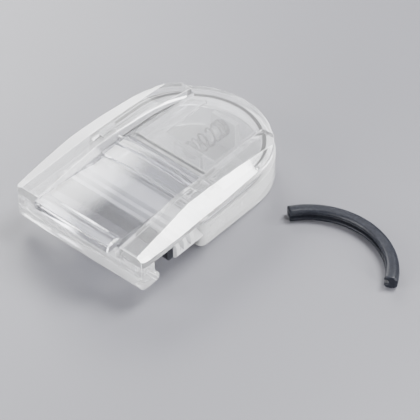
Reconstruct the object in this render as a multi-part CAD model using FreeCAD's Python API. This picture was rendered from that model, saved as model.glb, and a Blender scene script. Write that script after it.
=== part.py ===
import FreeCAD, Part
import math
import os

# Pocket eyelash curler in clear plastic, with a spare silicone pad beside it. Millimetres.
# X runs across the curler, Y from its front bar to its rear, Z up from the surface it lies on.
# Shapes are drawn with y = 0 at the front corners. export() moves them so that the origin
# is the middle of the flat base.

V = FreeCAD.Vector

# ---- driving dimensions -------------------------------------------------------------------
HALF_WIDTH = 19.8        # over the wings, at their widest
FRONT_HALF = 18.8        # over the front corners
FRONT_BOW = 2.6          # how far the front edge bulges forward of its corners
CORNER_R = 1.6           # of the front corners in plan
REAR_TIP_Y = 55.1        # rear tip of the upper body
REAR_ARC_Y = 38.0        # where the sides turn into the round rear end
REAR_ARC_HALF = 18.9     # half width there

EYE_ARCH = 3.3           # rise of the bar and the jaw from their ends to the middle
BAR_BOTTOM = 4.1         # underside of the front bar at its ends
BAND_TOP = 6.9           # top of the bar's lower band at its ends
BAR_TOP_END = 10.2       # top of the bar at its ends, where the wings sit
BAR_TOP_CROWN = 12.2
NOSE_Y = 5.0             # rear of the clamping nose at its ends
NOSE_HEIGHT = 2.6
JAW_GAP = 5.8            # open gap between the nose and the pad

GROOVE_X = 12.0          # inner edge of the wings
TAIL_X = 10.8            # the same at the wings' tails
TAIL_Y = 49.3
WING_SIDE = ((0.0, 12.7), (18.0, 15.0), (35.0, 14.5), (50.3, 13.0))  # (y, height) of its top
RIDGES = (17.0, 15.7, 15.8, 16.2)  # at those y, the x from which the top slopes outward
FLANGE = 2.9             # thickness of the wing at its ridge
BEVEL = 0.42             # the outward slope
GROOVE = 0.8             # gap between a wing and the rear cover
COVER_TOP = 12.4         # of the rear cover
COVER_FRONT_Y = 30.4

BODY_HALF = 17.0         # lower shell
BODY_FRONT_Y = 21.0
BODY_ARC_Y = 40.0        # centre of its round rear end
SPLIT_Z = 6.6            # top of the lower shell
WALL = 1.4
FLOOR = 1.2

HOUSING_HALF = 16.8      # upper housing, between the lower shell and the wings
HOUSING_FRONT_Y = 21.6
HOUSING_ARC_Y = 37.0
HOUSING_WALL = 1.2
SLIDE_GAP = 0.25         # between the lower shell and the upper housing
HOUSING_TOP = 10.0
DECK_Z = 8.2
DECK = 0.8

HINGE_Y = 27.0
HINGE_Z = 11.5
AXLE_R = 0.75
BARREL_R = 1.6
AXLE_CLEARANCE = 0.05
AXLE_HALF = 14.2
EAR_HALF = 2.2           # of the wings' ears, which hold the axle, along Y
EAR_LOW = 9.3
EAR_GAP = 0.1            # between an ear and its place in the housing
LATCH_Y = (19.8, 22.2)   # recess in each wing
LATCH_DEPTH = 0.7

SPRING_Z = 7.4
SPRING_R = 2.25          # outside
WIRE_R = 0.3
SPRING_FRONT_Y = 36.5
SPRING_REAR_Y = 47.9
SPRING_TURNS = 7.5

PAD_DEPTH = 2.0          # of the silicone in front of its groove
PAD_FOOT = 1.0
RIB = 1.0
RIB_PITCH = 2.3
RIBS = 3
JAW_HALF = 17.4
JAW_LOW = (3.3, 6.6)     # underside at the ends and the middle
JAW_TOP = (8.2, 11.0)
JAW_END_R = 3.0          # rounding of the ribs' ends

SPARE_CENTRE = (39.7, 30.7)   # centre of the spare pad's arc
SPARE_RADIUS = 19.6           # outside
SPARE_DEPTH = 3.1             # along the radius
SPARE_HEIGHT = 3.3            # as it lies
SPARE_GROOVE = 1.0            # square groove along its inner side
SPARE_TURN = -4.8             # degrees, of its middle from +Y
SPARE_HALF_ANGLE = 59.3

COVER_HALF = 11.0
LID_UNDER = (11.9, 13.0)      # window plate, at the ends and the middle of its arch
LID_TOP = (13.1, 14.2)
LID_STEP = 0.45               # raised part in front of the hinge
LIP_UNDER = (11.6, 12.7)      # bead along the window's front edge
LIP_TOP = (13.9, 15.0)
LIP_FRONT_Y = -0.8
LIP_REAR_Y = 3.5
ARM = 30.0               # longer than any section drawn before it is cut to an outline

BASE_MIDDLE_Y = (BODY_FRONT_Y + BODY_ARC_Y + BODY_HALF) / 2
PAD_FRONT_Y = NOSE_Y + JAW_GAP
JAW_FRONT_Y = PAD_FRONT_Y + PAD_DEPTH


# ---- helpers --------------------------------------------------------------------------------
def arc(a, b, c):
    return Part.Arc(V(*a), V(*b), V(*c)).toShape()


def line(a, b):
    return Part.makeLine(V(*a), V(*b))


def extrude(edges, direction):
    return Part.Face(Part.Wire(Part.__sortEdges__(edges))).extrude(V(*direction))


def polygon(points, direction):
    corners = [V(*p) for p in points]
    return Part.Face(Part.makePolygon(corners + corners[:1])).extrude(V(*direction))


def box(x0, x1, y0, y1, z0, z1):
    return Part.makeBox(x1 - x0, y1 - y0, z1 - z0, V(x0, y0, z0))


def arch(half, low, high, y0, y1):
    """A slab arched over X: low and high are its (end, middle) heights."""
    a, b = (-half, y0, low[0]), (half, y0, low[0])
    c, d = (half, y0, high[0]), (-half, y0, high[0])
    edges = [
        arc(a, (0, y0, low[1]), b),
        line(b, c),
        arc(c, (0, y0, high[1]), d),
        line(d, a),
    ]
    return extrude(edges, (0, y1 - y0, 0))


def bow(half, front, back, z0, z1):
    """A slab bowed forward in plan like the front edge, so that all such slabs nest.
    front and back are the y of its two faces, measured at the front corners' distance."""
    ends = arc_radius(FRONT_HALF, FRONT_BOW)
    ends -= math.sqrt(ends**2 - half**2)
    front -= FRONT_BOW
    back -= FRONT_BOW
    edges = [
        arc((-half, front + ends, z0), (0, front, z0), (half, front + ends, z0)),
        line((half, front + ends, z0), (half, back + ends, z0)),
        arc((half, back + ends, z0), (0, back, z0), (-half, back + ends, z0)),
        line((-half, back + ends, z0), (-half, front + ends, z0)),
    ]
    return extrude(edges, (0, 0, z1 - z0))


def bar(half, front, back, low, high):
    """Bowed in plan and arched in elevation, the shape of every part that meets the lid."""
    slab = arch(ARM, *[stretch(v, half) for v in (low, high)], -ARM, ARM)
    return slab.common(bow(half, front, back, -1.0, ARM))


def stretch(heights, half):
    """The (end, middle) heights of an arc at the slab's half width ARM, from those at half."""
    end, middle = heights
    radius = arc_radius(half, middle - end)
    return middle - (radius - math.sqrt(radius**2 - ARM**2)), middle


def arc_radius(half, rise):
    return (half**2 + rise**2) / (2 * rise)


def d_shape(half, front, centre, z0, z1):
    """Straight sides, a square front and a half-round rear end."""
    edges = [
        line((-half, front, z0), (half, front, z0)),
        line((half, front, z0), (half, centre, z0)),
        arc((half, centre, z0), (0, centre + half, z0), (-half, centre, z0)),
        line((-half, centre, z0), (-half, front, z0)),
    ]
    return extrude(edges, (0, 0, z1 - z0))


def upper_outline(z0, z1):
    """Plan of the upper body, from the bowed front edge to the round rear end."""
    corner = FRONT_HALF
    rear = REAR_ARC_HALF
    bulge_y = 21.0
    edges = [
        arc((-corner, 0, z0), (0, -FRONT_BOW, z0), (corner, 0, z0)),
        arc((corner, 0, z0), (HALF_WIDTH, bulge_y, z0), (rear, REAR_ARC_Y, z0)),
        arc((rear, REAR_ARC_Y, z0), (0, REAR_TIP_Y, z0), (-rear, REAR_ARC_Y, z0)),
        arc((-rear, REAR_ARC_Y, z0), (-HALF_WIDTH, bulge_y, z0), (-corner, 0, z0)),
    ]
    solid = extrude(edges, (0, 0, z1 - z0))
    return rounded(solid, CORNER_R, lambda e, p: upright(e) and p.y < 0.1)


def cylinder_x(radius, x0, x1, y, z):
    return Part.makeCylinder(radius, x1 - x0, V(x0, y, z), V(1, 0, 0))


def ring(inner, outer, x, y, z0, z1):
    disc = Part.makeCylinder(outer, z1 - z0, V(x, y, z0))
    return disc.cut(Part.makeCylinder(inner, z1 - z0, V(x, y, z0)))


def rounded(shape, radius, wanted):
    """Fillet the edges whose middle point passes the test."""
    edges = []
    for edge in shape.Edges:
        middle = edge.valueAt((edge.FirstParameter + edge.LastParameter) / 2)
        if wanted(edge, middle):
            edges.append(edge)
    return shape.makeFillet(radius, edges)


def upright(edge):
    box_ = edge.BoundBox
    return max(box_.XLength, box_.YLength) < 1e-3


def mirrored(shape):
    return shape.mirror(V(0, 0, 0), V(1, 0, 0))


def export(name, shape):
    solid = shape.removeSplitter()
    solid.translate(V(0, -BASE_MIDDLE_Y, 0))
    if len(solid.Solids) != 1 or not solid.isValid():
        raise RuntimeError(f"{name}: {len(solid.Solids)} solids, valid {solid.isValid()}")
    solid.Solids[0].exportStep(f"parts/{name}.step")


# ---- the frame: front bar, wings, housing, rear cover ----------------------------------------
def front_bar():
    bottom = (BAR_BOTTOM, BAR_BOTTOM + EYE_ARCH)
    band_top = (BAND_TOP, BAND_TOP + EYE_ARCH + 0.5)
    wall_top = (BAR_TOP_END, BAR_TOP_CROWN)
    nose_top = tuple(z + NOSE_HEIGHT for z in bottom)
    post_x = FRONT_HALF - 2.4
    band = bar(FRONT_HALF, 0.0, 2.2, bottom, band_top)
    wall = bar(FRONT_HALF, 0.7, 2.2, bottom, wall_top)
    nose = bar(FRONT_HALF, 0.4, NOSE_Y, bottom, nose_top)
    nose_rear = NOSE_Y - FRONT_BOW
    nose = rounded(
        nose, NOSE_HEIGHT * 0.42, lambda e, p: abs(p.x) < 1e-3 and abs(p.y - nose_rear) < 0.1
    )
    post = box(post_x, FRONT_HALF, 0.0, 3.6, BAR_BOTTOM, BAR_TOP_END)
    body = band.fuse([wall, nose, post, mirrored(post)])
    under_wing = box(GROOVE_X - 0.3, ARM, -ARM, ARM, BAR_TOP_END, ARM)
    return body.common(upper_outline(0.0, ARM)).cut([under_wing, mirrored(under_wing)])


def wing_side(raised, depth, front_low):
    """Side profile of a wing, from its front corner up to its peak and down to its tail.
    raised lifts each of its four points, depth is its height behind the peak."""
    front, peak, rear, tail = [(0, y, z + up) for (y, z), up in zip(WING_SIDE, raised)]
    start = (0, 0, front_low)
    low_peak, low_rear, low_tail = [(0, y, z - depth) for _, y, z in (peak, rear, tail)]
    return [
        line(front, peak),
        arc(peak, rear, tail),
        line(tail, low_tail),
        arc(low_tail, low_rear, low_peak),
        line(low_peak, start),
        line(start, front),
    ]


def wing():
    """Right wing: a flange along the edge of the upper body, and its root over the housing."""
    level = (0.0, 0.0, 0.0, 0.0)
    peak_top = WING_SIDE[1][1]
    plate = extrude(wing_side(level, FLANGE, BAR_TOP_END), (ARM, 0, 0))
    deep = wing_side(level, peak_top - HOUSING_TOP, HOUSING_TOP)
    root = extrude(deep, (ARM, 0, 0)).common(box(0, ARM, 0, ARM * 2, HOUSING_TOP, ARM))
    root = root.common(d_shape(HOUSING_HALF, HOUSING_FRONT_Y, HOUSING_ARC_Y, 0, ARM))
    raised = [BEVEL * x for x in RIDGES]
    sloped = extrude(wing_side(raised, ARM, -ARM), (ARM, 0, -BEVEL * ARM))
    inner = [
        (GROOVE_X, -ARM, 0),
        (ARM, -ARM, 0),
        (ARM, TAIL_Y, 0),
        (TAIL_X, TAIL_Y, 0),
        (GROOVE_X, HINGE_Y, 0),
    ]
    body = plate.fuse(root).common(sloped).common(upper_outline(0, ARM))
    body = body.common(polygon(inner, (0, 0, ARM)))
    body = body.cut(d_shape(HOUSING_HALF, HOUSING_FRONT_Y, HOUSING_ARC_Y, 0, HOUSING_TOP))
    ear_y = (HINGE_Y - EAR_HALF, HINGE_Y + EAR_HALF)
    ear = box(GROOVE_X, AXLE_HALF + 0.7, *ear_y, EAR_LOW, peak_top - 1.0)
    latch = box(GROOVE_X + 0.6, GROOVE_X + 2.4, *LATCH_Y, peak_top - LATCH_DEPTH, ARM)
    body = body.fuse(ear).cut(latch)
    return body.cut(cylinder_x(AXLE_R, 0, AXLE_HALF, HINGE_Y, HINGE_Z))


def upper_housing():
    inner_half = HOUSING_HALF - HOUSING_WALL
    low = SPLIT_Z + SLIDE_GAP
    inner_front = HOUSING_FRONT_Y + HOUSING_WALL
    wall = d_shape(HOUSING_HALF, HOUSING_FRONT_Y, HOUSING_ARC_Y, low, HOUSING_TOP)
    wall = wall.cut(d_shape(inner_half, inner_front, HOUSING_ARC_Y, 0, ARM))
    deck = d_shape(inner_half, inner_front, HOUSING_ARC_Y, DECK_Z, DECK_Z + DECK)
    pocket = box(-7.5, 7.5, SPRING_FRONT_Y, REAR_TIP_Y, 0, ARM)
    cross_wall = box(
        -GROOVE_X, GROOVE_X, COVER_FRONT_Y, COVER_FRONT_Y + HOUSING_WALL, DECK_Z, HOUSING_TOP
    )
    stop = box(-4.0, 4.0, SPRING_FRONT_Y - 1.3, SPRING_FRONT_Y, 3.2, DECK_Z + DECK)
    room_y = (HINGE_Y - EAR_HALF - EAR_GAP, HINGE_Y + EAR_HALF + EAR_GAP)
    ear_room = box(GROOVE_X - 2 * EAR_GAP, HOUSING_HALF, *room_y, EAR_LOW - EAR_GAP, ARM)
    body = wall.fuse([deck.cut(pocket), cross_wall, stop])
    return body.cut(ear_room).cut(mirrored(ear_room))


def guide_rail():
    """Right rail: it hangs from the housing's deck and hooks under the lower shell's lip."""
    section = [
        (13.2, 24.6, DECK_Z),
        (13.2, 24.6, 3.4),
        (15.2, 24.6, 3.4),
        (15.2, 24.6, 4.5),
        (14.5, 24.6, 4.5),
        (14.5, 24.6, DECK_Z),
    ]
    return polygon(section, (0, 9.6, 0))


def rear_cover():
    """Clear plate between the wings' tails, with a low sill behind the front cover's barrel."""
    edge = GROOVE_X - GROOVE
    tail = TAIL_X - GROOVE
    plan = [
        (-edge, COVER_FRONT_Y, 0),
        (edge, COVER_FRONT_Y, 0),
        (edge, 31.0, 0),
        (tail, TAIL_Y, 0),
        (ARM, TAIL_Y + 0.3, 0),
        (ARM, ARM * 2, 0),
        (-ARM, ARM * 2, 0),
        (-ARM, TAIL_Y + 0.3, 0),
        (-tail, TAIL_Y, 0),
        (-edge, 31.0, 0),
    ]
    body = upper_outline(HOUSING_TOP, COVER_TOP).common(polygon(plan, (0, 0, ARM)))
    sill_y = (HINGE_Y + BARREL_R + 0.4, COVER_FRONT_Y)
    sill = box(-edge, edge, *sill_y, HOUSING_TOP, COVER_TOP - 0.35)
    body = body.fuse(sill)
    return rounded(body, 0.5, lambda e, p: abs(p.z - COVER_TOP) < 1e-3 and p.y > TAIL_Y + 1)


# ---- the flip-up window over the jaws ----------------------------------------------------------
def front_cover():
    rear_y = HINGE_Y - 1.0
    plate = arch(COVER_HALF, LID_UNDER, LID_TOP, LIP_FRONT_Y + 2.1, rear_y)
    step_top = [z + LID_STEP for z in LID_TOP]
    step = arch(COVER_HALF, LID_TOP, step_top, 19.0, rear_y - 0.5)
    seam = box(-COVER_HALF, COVER_HALF, 23.0, 23.8, LID_TOP[0] + 0.2, ARM)
    lip = bar(COVER_HALF, LIP_FRONT_Y, LIP_REAR_Y, LIP_UNDER, LIP_TOP)
    lip = rounded(lip, 0.6, lambda e, p: True)
    barrel = cylinder_x(BARREL_R, -COVER_HALF, COVER_HALF, HINGE_Y, HINGE_Z)
    web = box(-COVER_HALF, COVER_HALF, rear_y - 1.4, HINGE_Y, HINGE_Z, LID_UNDER[1])
    body = plate.fuse([lip, step.cut(seam), barrel, web])
    bore = cylinder_x(AXLE_R + AXLE_CLEARANCE, -ARM, ARM, HINGE_Y, HINGE_Z)
    return body.cut(bore)


def cover_axle():
    return cylinder_x(AXLE_R, -AXLE_HALF, AXLE_HALF, HINGE_Y, HINGE_Z)


# ---- the slider: lower shell, jaw, pad, spring -------------------------------------------------
def lower_shell():
    inner_half = BODY_HALF - WALL
    inner_arc_y = BODY_ARC_Y - 2.5
    outer = d_shape(BODY_HALF, BODY_FRONT_Y, BODY_ARC_Y, 0, SPLIT_Z)
    outer = rounded(outer, 1.6, lambda e, p: upright(e) and p.y < BODY_FRONT_Y + 0.1)
    outer = rounded(outer, 0.6, lambda e, p: abs(p.z) < 1e-3)
    hollow = d_shape(inner_half, BODY_FRONT_Y + WALL, inner_arc_y, FLOOR, ARM)
    body = outer.cut(hollow)
    lip = box(14.85, inner_half + 0.2, BODY_FRONT_Y + WALL, inner_arc_y, 4.85, SPLIT_Z)
    return body.fuse([lip, mirrored(lip)])


def jaw():
    """Curved ribs on an arched floor, reaching forward from the lower shell."""
    floor_top = tuple(z + 1.4 for z in JAW_LOW)
    floor = bar(JAW_HALF, JAW_FRONT_Y, BODY_FRONT_Y + FRONT_BOW, JAW_LOW, floor_top)
    pieces = []
    for n in range(RIBS):
        front = JAW_FRONT_Y + n * RIB_PITCH
        pieces.append(bar(JAW_HALF, front, front + RIB, JAW_LOW, JAW_TOP))
    root_top = (6.0, 8.6)
    pieces.append(bar(15.4, BODY_FRONT_Y - 1.8, BODY_FRONT_Y + FRONT_BOW, JAW_LOW, root_top))
    body = floor.fuse(pieces)
    envelope = arch(JAW_HALF, JAW_LOW, JAW_TOP, 0, BODY_FRONT_Y)
    for radius, end in ((JAW_END_R, JAW_TOP[0]), (0.9, JAW_LOW[0])):
        envelope = rounded(
            envelope, radius, lambda e, p: abs(p.x) > JAW_HALF - 0.1 and abs(p.z - end) < 0.1
        )
    return body.common(envelope).cut(pad_foot())


def pad_foot():
    """The tongue behind the pad, which presses into a groove through the front rib."""
    low = [z + 1.6 for z in JAW_LOW]
    high = [z + 3.0 for z in JAW_LOW]
    return bar(15.6, JAW_FRONT_Y, JAW_FRONT_Y + PAD_FOOT, low, high)


def lash_pad():
    low = [z + 0.4 for z in JAW_LOW]
    high = [z + 4.2 for z in JAW_LOW]
    body = bar(JAW_HALF - 0.9, PAD_FRONT_Y, JAW_FRONT_Y, low, high)
    front = PAD_FRONT_Y - FRONT_BOW
    body = rounded(body, 0.8, lambda e, p: abs(p.x) < 1e-3 and abs(p.y - front) < 0.1)
    return body.fuse(pad_foot())


def spring_block():
    return box(-3.6, 3.6, SPRING_REAR_Y, SPRING_REAR_Y + 1.2, FLOOR, 9.6)


def spring_guide():
    length = 5.4
    tip_y = SPRING_REAR_Y - length
    pin = Part.makeCylinder(1.25, length, V(0, tip_y, SPRING_Z), V(0, 1, 0))
    return rounded(pin, 0.4, lambda e, p: abs(p.y - tip_y) < 1e-3)


def return_spring():
    """Round wire coil along Y, between the housing's stop and the slider's block."""
    length = SPRING_REAR_Y - SPRING_FRONT_Y - 2 * WIRE_R
    middle_r = SPRING_R - WIRE_R
    coil = Part.makeHelix(length / SPRING_TURNS, length, middle_r)
    section = Part.Wire(Part.makeCircle(WIRE_R, V(middle_r, 0, 0), V(0, 1, 0)))
    wire = Part.Wire(coil.Edges).makePipeShell([section], True, True)
    wire.rotate(V(0, 0, 0), V(1, 0, 0), -90)
    wire.translate(V(0, SPRING_FRONT_Y + WIRE_R, SPRING_Z))
    return wire


# ---- the loose spare pad ------------------------------------------------------------------------
def spare_pad():
    """An arc of the same silicone section, lying on its side."""
    inner = SPARE_RADIUS - SPARE_DEPTH
    cx, cy = SPARE_CENTRE
    body = ring(inner, SPARE_RADIUS, cx, cy, 0, SPARE_HEIGHT)
    body = rounded(body, 1.35, lambda e, p: e.BoundBox.XLength > 2 * inner + 1)
    body = rounded(body, 0.8, lambda e, p: e.BoundBox.XLength < 2 * inner + 0.5)
    groove_z = (SPARE_HEIGHT - SPARE_GROOVE) / 2
    groove = ring(inner - 1, inner + SPARE_GROOVE, cx, cy, groove_z, groove_z + SPARE_GROOVE)
    body = body.cut(groove)
    reach = ARM * 1.5
    corners = [(cx, cy, -1)]
    for side in (1, 0.5, -0.5, -1):
        turn = math.radians(90 + SPARE_TURN + side * SPARE_HALF_ANGLE)
        corners.append((cx + reach * math.cos(turn), cy + reach * math.sin(turn), -1))
    return body.common(polygon(corners, (0, 0, 10)))


os.makedirs("parts", exist_ok=True)
export("front_bar", front_bar())
export("left_wing", mirrored(wing()))
export("right_wing", wing())
export("upper_housing", upper_housing())
export("left_guide_rail", mirrored(guide_rail()))
export("right_guide_rail", guide_rail())
export("rear_cover", rear_cover())
export("cover_axle", cover_axle())
export("front_cover", front_cover())
export("lower_shell", lower_shell())
export("jaw", jaw())
export("lash_pad", lash_pad())
export("spring_block", spring_block())
export("spring_guide", spring_guide())
export("return_spring", return_spring())
export("spare_pad", spare_pad())
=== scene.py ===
import math

import bmesh
import bpy
from mathutils import Matrix, Vector


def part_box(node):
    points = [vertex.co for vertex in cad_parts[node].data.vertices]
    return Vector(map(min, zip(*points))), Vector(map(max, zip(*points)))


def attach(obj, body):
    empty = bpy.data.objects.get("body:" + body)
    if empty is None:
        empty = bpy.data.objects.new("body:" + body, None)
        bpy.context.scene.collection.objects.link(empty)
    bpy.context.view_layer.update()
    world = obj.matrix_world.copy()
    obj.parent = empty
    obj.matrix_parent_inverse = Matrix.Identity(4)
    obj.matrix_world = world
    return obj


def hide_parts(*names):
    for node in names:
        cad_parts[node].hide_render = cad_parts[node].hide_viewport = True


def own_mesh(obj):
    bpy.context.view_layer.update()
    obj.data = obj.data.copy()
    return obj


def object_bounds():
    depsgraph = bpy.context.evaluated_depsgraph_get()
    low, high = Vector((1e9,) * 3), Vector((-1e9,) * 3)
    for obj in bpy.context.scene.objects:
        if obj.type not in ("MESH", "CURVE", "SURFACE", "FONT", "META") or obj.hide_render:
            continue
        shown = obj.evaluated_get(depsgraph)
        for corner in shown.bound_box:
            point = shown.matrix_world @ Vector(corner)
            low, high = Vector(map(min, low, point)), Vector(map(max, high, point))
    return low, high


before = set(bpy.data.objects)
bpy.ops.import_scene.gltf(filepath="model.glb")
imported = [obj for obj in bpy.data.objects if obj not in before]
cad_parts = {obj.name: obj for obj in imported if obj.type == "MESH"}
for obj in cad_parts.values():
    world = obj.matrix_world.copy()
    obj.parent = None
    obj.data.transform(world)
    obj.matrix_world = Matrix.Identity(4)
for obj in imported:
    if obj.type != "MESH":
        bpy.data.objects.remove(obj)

MM = 0.001
cad_low, cad_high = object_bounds()

# The span that a noise's values mostly stay in
NOISE_LOW, NOISE_HIGH = 0.3, 0.7

# Moulded pieces: cleaning and rounding
MERGE_DISTANCE = 1e-7
FLAT_WITHIN = math.radians(0.6)
BEVEL_SEGMENTS = 2
FLAT_FACE_WEIGHT = 60

# The loose silicone pad: size of its even faces, and how often they are smoothed
SOFT_FACE = 0.2 * MM
SOFT_PASSES = 8

# The spring. CLOSED_END is the share of its turns at each end that lie close together, and
# CLOSED_PITCH is their pitch as a share of the mean pitch.
WIRE_RADIUS = 0.3 * MM
SPRING_TURNS = 7.5
STEPS_A_TURN = 28
CLOSED_END = 0.1
CLOSED_PITCH = 0.25

# Floor and camera
FLOOR_HALF = 1.2
FLOOR_GAP = 0.02 * MM
AZIMUTH, ELEVATION = math.radians(41.0), math.radians(43.0)
CAMERA_DISTANCE = 0.559
CAMERA_TARGET = Vector((0.01083, -0.00814, 0.00117))
LENS, SENSOR = 214.3, 36


# ---- shader helpers ------------------------------------------------------------------------
class Shader:
    """A material's node tree, with short calls for the nodes used here."""

    def __init__(self, name):
        self.material = bpy.data.materials.new(name)
        self.material.use_nodes = True
        self.tree = self.material.node_tree
        self.surface = self.tree.nodes["Principled BSDF"]
        self.coordinates = self.add("ShaderNodeTexCoord").outputs["Object"]

    def add(self, kind):
        return self.tree.nodes.new(kind)

    def link(self, source, target):
        self.tree.links.new(source, target)

    def set(self, **values):
        """Uniform values of the surface, by the names of its inputs."""
        for key, value in values.items():
            self.surface.inputs[key.replace("_", " ")].default_value = value

    def noise(self, scale, detail=3.0, stretch=(1, 1, 1), roughness=0.5):
        """Noise with about scale cells a metre. A small stretch makes them long on that axis."""
        mapping = self.add("ShaderNodeMapping")
        mapping.inputs["Scale"].default_value = stretch
        self.link(self.coordinates, mapping.inputs["Vector"])
        node = self.add("ShaderNodeTexNoise")
        node.inputs["Scale"].default_value = scale
        node.inputs["Detail"].default_value = detail
        node.inputs["Roughness"].default_value = roughness
        self.link(mapping.outputs["Vector"], node.inputs["Vector"])
        return node.outputs["Fac"]

    def spread(self, value, low, high):
        """A noise's usual span, spread over low to high."""
        node = self.add("ShaderNodeMapRange")
        node.inputs["From Min"].default_value = NOISE_LOW
        node.inputs["From Max"].default_value = NOISE_HIGH
        node.inputs["To Min"].default_value = low
        node.inputs["To Max"].default_value = high
        self.link(value, node.inputs["Value"])
        return node.outputs["Result"]

    def ramp(self, value, stops):
        """A colour that runs between two stops. A stop is a place on the noise and a colour."""
        node = self.add("ShaderNodeValToRGB")
        for element, (place, colour) in zip(node.color_ramp.elements, stops):
            element.position = place
            element.color = (*colour, 1)
        self.link(value, node.inputs["Fac"])
        return node.outputs["Color"]

    def bump(self, layers):
        """layers are (height socket, depth in metres)."""
        below = None
        for height, depth in layers:
            node = self.add("ShaderNodeBump")
            node.inputs["Distance"].default_value = depth
            node.inputs["Strength"].default_value = 1.0
            self.link(height, node.inputs["Height"])
            if below:
                self.link(below, node.inputs["Normal"])
            below = node.outputs["Normal"]
        self.link(below, self.surface.inputs["Normal"])


def clear_plastic(name, tint, clearness, rough, ripple, flow=(1, 1, 1)):
    """Clear plastic, with slow ripples in its surface, faint haze and handling marks.
    ripple is the ripples' depth in metres. They are stretched along the axis with a small flow."""
    s = Shader(name)
    s.set(Transmission_Weight=clearness, IOR=1.49, Specular_IOR_Level=0.5)
    haze = s.noise(260, 4)
    low = [c * 0.94 for c in tint]
    s.link(
        s.ramp(haze, [(NOISE_LOW, low), (NOISE_HIGH, tint)]), s.surface.inputs["Base Color"]
    )
    marks = s.noise(900, 5, stretch=(1, 0.25, 1))
    s.link(s.spread(marks, rough * 0.5, rough * 1.8), s.surface.inputs["Roughness"])
    waves = s.noise(70, 1, stretch=flow)
    grain = s.noise(2600, 2)
    s.bump([(waves, ripple), (grain, 0.0000015)])
    return s.material


def silicone(name):
    """Black silicone: satin, with a fine dusting of lint."""
    s = Shader(name)
    s.set(Specular_IOR_Level=0.15, IOR=1.42, Coat_Weight=0.04, Coat_Roughness=0.25)
    dust = s.noise(1500, 6, roughness=0.7)
    dark, pale = (0.005, 0.0055, 0.008), (0.015, 0.0165, 0.021)
    s.link(s.ramp(dust, [(0.42, dark), (0.75, pale)]), s.surface.inputs["Base Color"])
    s.link(s.spread(s.noise(420, 3), 0.34, 0.5), s.surface.inputs["Roughness"])
    s.bump([(s.noise(240, 2), 0.00004), (s.noise(5200, 2), 0.000006)])
    return s.material


def steel(name, rough):
    """Dark spring steel with stains and fine drawing marks."""
    s = Shader(name)
    s.set(Metallic=1.0)
    stain = s.noise(350, 4)
    dark, pale = (0.05, 0.05, 0.055), (0.16, 0.16, 0.17)
    s.link(
        s.ramp(stain, [(NOISE_LOW, dark), (NOISE_HIGH, pale)]), s.surface.inputs["Base Color"]
    )
    lines = s.noise(1800, 3)
    s.link(s.spread(lines, rough * 0.6, rough * 1.5), s.surface.inputs["Roughness"])
    s.bump([(lines, 0.000004)])
    return s.material


CLEAR = {
    "window": clear_plastic("clear_window", (0.93, 0.935, 0.985), 0.96, 0.05, 0.00002),
    "rear": clear_plastic("clear_rear", (0.97, 0.975, 0.998), 0.93, 0.03, 0.00002),
    "frame": clear_plastic("clear_frame", (0.985, 0.99, 1.0), 0.84, 0.05, 0.00004, (1, 0.4, 1)),
    "wing": clear_plastic("clear_wing", (0.98, 0.985, 1.0), 0.93, 0.04, 0.00004, (1, 0.4, 1)),
    "jaw": clear_plastic("clear_jaw", (0.97, 0.975, 0.99), 0.58, 0.05, 0.00002, (0.4, 1, 1)),
    "slider": clear_plastic("clear_slider", (0.985, 0.99, 0.995), 0.72, 0.1, 0.00006, (0.5, 1, 1)),
}
# Painted highlight: a milkier, less clear copy of the plastic for the rounded edges, so they read
# as white lines as if they caught the lamps.
RIM_PAINTED_HIGHLIGHT = clear_plastic("clear_rim_painted_highlight", (0.99, 0.992, 1.0), 0.45, 0.12, 0.00001)
SILICONE = silicone("black_silicone")
SPRING_STEEL = steel("spring_wire", 0.22)


# ---- mesh helpers ------------------------------------------------------------------------------
def finish_piece(piece, body, materials, node):
    """Gives a piece its materials and its body, in place of a CAD node, which it hides."""
    piece.data.materials.clear()
    for material in materials:
        piece.data.materials.append(material)
    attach(piece, body)
    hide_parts(node)
    return piece


def node_copy(node, dissolve=False):
    """A loose copy of a CAD node, with its faces joined up. dissolve also merges flat faces."""
    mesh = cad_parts[node].data.copy()
    piece = bpy.data.objects.new(f"{node}_moulding", mesh)
    bpy.context.scene.collection.objects.link(piece)
    work = bmesh.new()
    work.from_mesh(mesh)
    bmesh.ops.remove_doubles(work, verts=work.verts, dist=MERGE_DISTANCE)
    if dissolve:
        bmesh.ops.dissolve_limit(
            work, angle_limit=FLAT_WITHIN, verts=work.verts, edges=work.edges
        )
    work.to_mesh(mesh)
    work.free()
    return piece


def rubbery(node, body, materials):
    """A soft node's shape with its edges and ends rounded off, as moulded silicone has them."""
    piece = node_copy(node)
    remesh = piece.modifiers.new("even_faces", "REMESH")
    remesh.mode = "VOXEL"
    remesh.voxel_size = SOFT_FACE
    remesh.use_smooth_shade = True
    smooth = piece.modifiers.new("rounded", "SMOOTH")
    smooth.factor = 0.5
    smooth.iterations = SOFT_PASSES
    return finish_piece(piece, body, materials, node)


def moulded(node, body, materials, edge, sharpest=28):
    """A CAD node's shape with its sharp edges rounded as a mould leaves them.
    A second material, where there is one, covers the rounded edges: a milkier plastic that paints a
    highlight along them. sharpest is the angle in degrees from which an edge is rounded."""
    piece = node_copy(node, dissolve=True)
    bevel = piece.modifiers.new("rounded", "BEVEL")
    bevel.width = edge
    bevel.segments = BEVEL_SEGMENTS
    bevel.limit_method = "ANGLE"
    bevel.angle_limit = math.radians(sharpest)
    bevel.use_clamp_overlap = True
    # The rounded edges get the last material, which for the clear pieces is the milky rim that
    # paints a highlight on them.
    bevel.material = len(materials) - 1
    weighted = piece.modifiers.new("flat_faces", "WEIGHTED_NORMAL")
    weighted.mode = "FACE_AREA"
    weighted.weight = FLAT_FACE_WEIGHT
    for polygon in piece.data.polygons:
        polygon.use_smooth = True
    return finish_piece(piece, body, materials, node)


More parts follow.
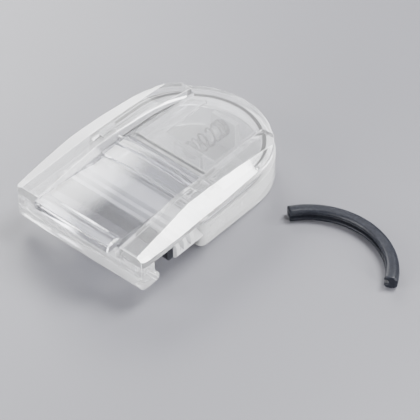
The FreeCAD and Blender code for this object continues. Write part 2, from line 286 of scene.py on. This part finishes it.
# ---- the pieces: each row is a node, its plastic and the width of its rounded edges in mm --------
for name in ("left_wing", "right_wing"):
    moulded(name, "frame", (CLEAR["wing"], RIM_PAINTED_HIGHLIGHT), 0.32 * MM, sharpest=17)
for name, kind, edge in (
    ("front_bar", "frame", 0.3),
    ("upper_housing", "rear", 0.14),
    ("left_guide_rail", "rear", 0.1),
    ("right_guide_rail", "rear", 0.1),
    ("rear_cover", "rear", 0.2),
    ("cover_axle", "frame", 0.1),
):
    moulded(name, "frame", (CLEAR[kind], RIM_PAINTED_HIGHLIGHT), edge * MM)
moulded("front_cover", "cover", (CLEAR["window"], RIM_PAINTED_HIGHLIGHT), 0.25 * MM)
for name, kind, edge in (
    ("lower_shell", "slider", 0.2),
    ("jaw", "jaw", 0.14),
    ("spring_block", "jaw", 0.12),
    ("spring_guide", "jaw", 0.08),
):
    moulded(name, "slider", (CLEAR[kind], RIM_PAINTED_HIGHLIGHT), edge * MM)
moulded("lash_pad", "slider", (SILICONE,), 0.12 * MM)
rubbery("spare_pad", "spare", (SILICONE,))


# ---- the spring ------------------------------------------------------------------------------
def coil_share(share):
    """How far along the spring its wire is, at a share of its turns. The turns lie close
    together at both ends, and their pitch opens smoothly between."""
    opened = min(1, max(0, (share - CLOSED_END) / (1 - 2 * CLOSED_END)))
    smooth = 0.5 - 0.5 * math.cos(math.pi * opened)
    return CLOSED_PITCH * share + (1 - CLOSED_PITCH) * smooth


def spring_piece():
    low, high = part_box("return_spring")
    radius = (high.x - low.x) / 2 - WIRE_RADIUS
    middle = (low + high) / 2
    length = high.y - low.y - 2 * WIRE_RADIUS
    curve = bpy.data.curves.new("return_spring_coil", "CURVE")
    curve.dimensions = "3D"
    curve.bevel_depth = WIRE_RADIUS
    curve.bevel_resolution = 4
    line = curve.splines.new("POLY")
    count = int(SPRING_TURNS * STEPS_A_TURN)
    line.points.add(count)
    for n in range(count + 1):
        share = n / count
        turn = 2 * math.pi * SPRING_TURNS * share
        x = middle.x + radius * math.cos(turn)
        y = low.y + WIRE_RADIUS + length * coil_share(share)
        z = middle.z + radius * math.sin(turn)
        line.points[n].co = (x, y, z, 1)
    source = bpy.data.objects.new("spring_source", curve)
    bpy.context.scene.collection.objects.link(source)
    bpy.context.view_layer.update()
    built = source.evaluated_get(bpy.context.evaluated_depsgraph_get())
    mesh = bpy.data.meshes.new_from_object(built)
    bpy.data.objects.remove(source)
    piece = bpy.data.objects.new("return_spring_coil", mesh)
    bpy.context.scene.collection.objects.link(piece)
    for polygon in mesh.polygons:
        polygon.use_smooth = True
    finish_piece(piece, "frame", (SPRING_STEEL,), "return_spring")
    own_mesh(piece)


spring_piece()


# ---- floor, light, camera ----------------------------------------------------------------------
def floor():
    mesh = bpy.data.meshes.new("floor")
    corners = [(x * FLOOR_HALF, y * FLOOR_HALF, 0) for x, y in ((-1, -1), (1, -1), (1, 1), (-1, 1))]
    mesh.from_pydata(corners, [], [(0, 1, 2, 3)])
    plane = bpy.data.objects.new("floor", mesh)
    bpy.context.scene.collection.objects.link(plane)
    plane.location.z = cad_low.z - FLOOR_GAP
    s = Shader("pale_floor")
    s.set(Base_Color=(0.088, 0.088, 0.099, 1), Roughness=0.42)
    mesh.materials.append(s.material)


def light(name, place, size, power, along=None, fade=0):
    """A softbox facing the origin. along is the direction of its first side, level if not given.
    fade is the share of its second side over which it darkens to nothing."""
    data = bpy.data.lights.new(name, "AREA")
    data.shape = "RECTANGLE"
    data.size, data.size_y = size
    data.energy = power
    lamp = bpy.data.objects.new(name, data)
    bpy.context.scene.collection.objects.link(lamp)
    back = Vector(place).normalized()
    side = Vector(along) if along else Vector((0, 0, 1)).cross(back)
    upward = back.cross(side).normalized()
    axes = Matrix((upward.cross(back), upward, back)).transposed()
    lamp.matrix_world = Matrix.Translation(place) @ axes.to_4x4()
    if fade:
        data.use_nodes = True
        tree = data.node_tree
        surface = tree.nodes.new("ShaderNodeNewGeometry")
        split = tree.nodes.new("ShaderNodeSeparateXYZ")
        ramp = tree.nodes.new("ShaderNodeMapRange")
        ramp.interpolation_type = "SMOOTHSTEP"
        ramp.inputs["From Max"].default_value = fade
        tree.links.new(surface.outputs["Parametric"], split.inputs["Vector"])
        tree.links.new(split.outputs["Y"], ramp.inputs["Value"])
        tree.links.new(ramp.outputs["Result"], tree.nodes["Emission"].inputs["Strength"])


def camera():
    back = Vector(
        (
            math.sin(AZIMUTH) * math.cos(ELEVATION),
            -math.cos(AZIMUTH) * math.cos(ELEVATION),
            math.sin(ELEVATION),
        )
    )
    data = bpy.data.cameras.new("camera")
    data.lens = LENS
    data.sensor_width = SENSOR
    data.clip_start = 0.01
    eye = bpy.data.objects.new("camera", data)
    bpy.context.scene.collection.objects.link(eye)
    eye.location = CAMERA_TARGET + back * CAMERA_DISTANCE
    eye.rotation_mode = "QUATERNION"
    eye.rotation_quaternion = (-back).to_track_quat("-Z", "Y")
    bpy.context.scene.camera = eye


def surroundings():
    world = bpy.data.worlds.new("studio")
    bpy.context.scene.world = world
    world.use_nodes = True
    background = world.node_tree.nodes["Background"]
    background.inputs["Color"].default_value = (0.10, 0.10, 0.115, 1)
    background.inputs["Strength"].default_value = 1.0
    # The window mirrors the rear softbox, which fades along the window's length.
    slanted = (-0.024, 0.914, -0.406)
    light("softbox_rear", (-0.345, 0.195, 0.328), (0.30, 0.28), 5.2, slanted, fade=0.6)
    light("softbox_left", (-0.41, 0.28, 0.08), (0.36, 0.14), 2.2)
    light("softbox_top", (0.09, 0.20, 0.40), (0.16, 0.20), 8.0)
    light("softbox_right", (0.42, -0.02, 0.12), (0.08, 0.26), 4.6)
    light("softbox_front", (-0.08, -0.42, 0.12), (0.36, 0.06), 4.6)
    light("front_edges", (-0.216, -0.307, 0.248), (0.20, 0.20), 3.0)
    light("right_edges", (0.307, 0.248, 0.216), (0.20, 0.20), 2.4)


floor()
surroundings()
camera()
